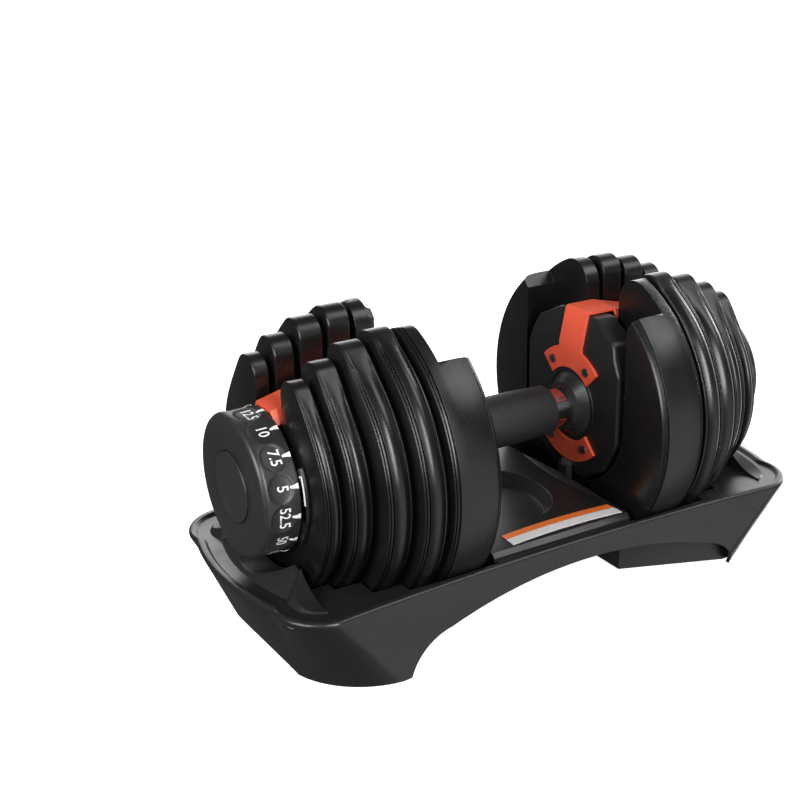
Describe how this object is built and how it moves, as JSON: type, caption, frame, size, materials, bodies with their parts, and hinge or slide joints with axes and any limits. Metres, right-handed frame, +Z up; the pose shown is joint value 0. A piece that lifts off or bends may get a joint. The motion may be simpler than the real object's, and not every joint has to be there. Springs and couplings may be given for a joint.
{
  "type": "adjustable dumbbell",
  "caption": "Selector-dial dumbbell docked in a moulded tray, with slotted weight plates at both ends that stay behind or lift with the handle.",
  "frame": {"origin": "on the ground under the middle of the tray", "axes": "+X along the dumbbell's axis, towards its right end seen from the label side; +Y towards the back; +Z up"},
  "size_m": [0.4254, 0.203, 0.217],
  "materials": {
    "tray_plastic": "semi-gloss injection moulded",
    "foot_rubber": "matt",
    "label": "printed film",
    "plate_cover": "semi-gloss moulded",
    "plate_steel": "black coated steel",
    "tube_steel": "dark polished",
    "grip_rubber": "soft matt",
    "rod_steel": "turned",
    "collar_metal": "dark satin",
    "housing_plastic": "satin moulded",
    "bracket_orange": "orange-red satin",
    "screw_steel": "dark zinc",
    "mark_white": "white print",
    "dial_plastic": "semi-gloss moulded",
    "dial_cap_plastic": "satin moulded",
    "selector_plastic": "glass-filled nylon",
    "lock_steel": "stamped"
  },
  "bodies": {
    "tray": {"base_tray": "tray_plastic", "rubber_feet": "foot_rubber", "release_posts": "tray_plastic", "info_label": "label"},
    "weights_1": {"weight_1_left": "plate_cover", "weight_1_right": "plate_cover", "weight_core_1_left": "plate_steel", "weight_core_1_right": "plate_steel"},
    "weights_2": {"weight_2_left": "plate_cover", "weight_2_right": "plate_cover", "weight_core_2_left": "plate_steel", "weight_core_2_right": "plate_steel"},
    "weights_3": {"weight_3_left": "plate_cover", "weight_3_right": "plate_cover", "weight_core_3_left": "plate_steel", "weight_core_3_right": "plate_steel"},
    "weights_4": {"weight_4_left": "plate_cover", "weight_4_right": "plate_cover", "weight_core_4_left": "plate_steel", "weight_core_4_right": "plate_steel"},
    "weights_5": {"weight_5_left": "plate_cover", "weight_5_right": "plate_cover", "weight_core_5_left": "plate_steel", "weight_core_5_right": "plate_steel"},
    "handle": {"handle_tube": "tube_steel", "grip_sleeve": "grip_rubber", "through_rod": "rod_steel", "rod_nuts": "rod_steel", "index_marks": "mark_white", "lock_springs": "lock_steel", "bracket_screws": "screw_steel", "end_collar_left": "collar_metal", "end_collar_right": "collar_metal", "inner_housing_left": "housing_plastic", "inner_housing_right": "housing_plastic", "housing_back_left": "housing_plastic", "housing_back_right": "housing_plastic", "upper_bracket_left": "bracket_orange", "upper_bracket_right": "bracket_orange", "lower_bracket_left": "bracket_orange", "lower_bracket_right": "bracket_orange", "index_plate_left": "housing_plastic", "index_plate_right": "housing_plastic"},
    "selector_left": {"dial_left": "dial_plastic", "dial_cap_left": "dial_cap_plastic", "dial_ticks_left": "mark_white", "selector_sleeve_left": "selector_plastic", "selector_discs_left": "selector_plastic", "lock_ring_left": "lock_steel"},
    "lock_left": {"lock_slide_left": "lock_steel"},
    "selector_right": {"dial_right": "dial_plastic", "dial_cap_right": "dial_cap_plastic", "dial_ticks_right": "mark_white", "selector_sleeve_right": "selector_plastic", "selector_discs_right": "selector_plastic", "lock_ring_right": "lock_steel"},
    "lock_right": {"lock_slide_right": "lock_steel"}
  },
  "joints": [
    {"name": "weights_1_lift", "type": "slide", "parent": "tray", "child": "weights_1", "axis": [0, 0, 1], "range_m": [0, 0.16]},
    {"name": "weights_2_lift", "type": "slide", "parent": "weights_1", "child": "weights_2", "axis": [0, 0, 1], "range_m": [0, 0.16]},
    {"name": "weights_3_lift", "type": "slide", "parent": "weights_2", "child": "weights_3", "axis": [0, 0, 1], "range_m": [0, 0.16]},
    {"name": "weights_4_lift", "type": "slide", "parent": "weights_3", "child": "weights_4", "axis": [0, 0, 1], "range_m": [0, 0.16]},
    {"name": "weights_5_lift", "type": "slide", "parent": "weights_4", "child": "weights_5", "axis": [0, 0, 1], "range_m": [0, 0.16]},
    {"name": "handle_lift", "type": "slide", "parent": "weights_5", "child": "handle", "axis": [0, 0, 1], "range_m": [0, 0.16]},
    {"name": "dial_left_turn", "type": "hinge", "parent": "handle", "child": "selector_left", "pos_m": [-0.19, 0, 0.122], "axis": [1, 0, 0], "continuous": true},
    {"name": "dial_right_turn", "type": "hinge", "parent": "handle", "child": "selector_right", "pos_m": [0.19, 0, 0.122], "axis": [1, 0, 0], "continuous": true},
    {"name": "lock_left_slide", "type": "slide", "parent": "handle", "child": "lock_left", "axis": [0, 0, 1], "range_m": [-0.004, 0]},
    {"name": "lock_right_slide", "type": "slide", "parent": "handle", "child": "lock_right", "axis": [0, 0, 1], "range_m": [-0.004, 0]}
  ],
  "couplings": [
    {"joint": "lock_left_slide", "follows": "handle_lift", "ratio": -0.025},
    {"joint": "lock_right_slide", "follows": "handle_lift", "ratio": -0.025}
  ]
}
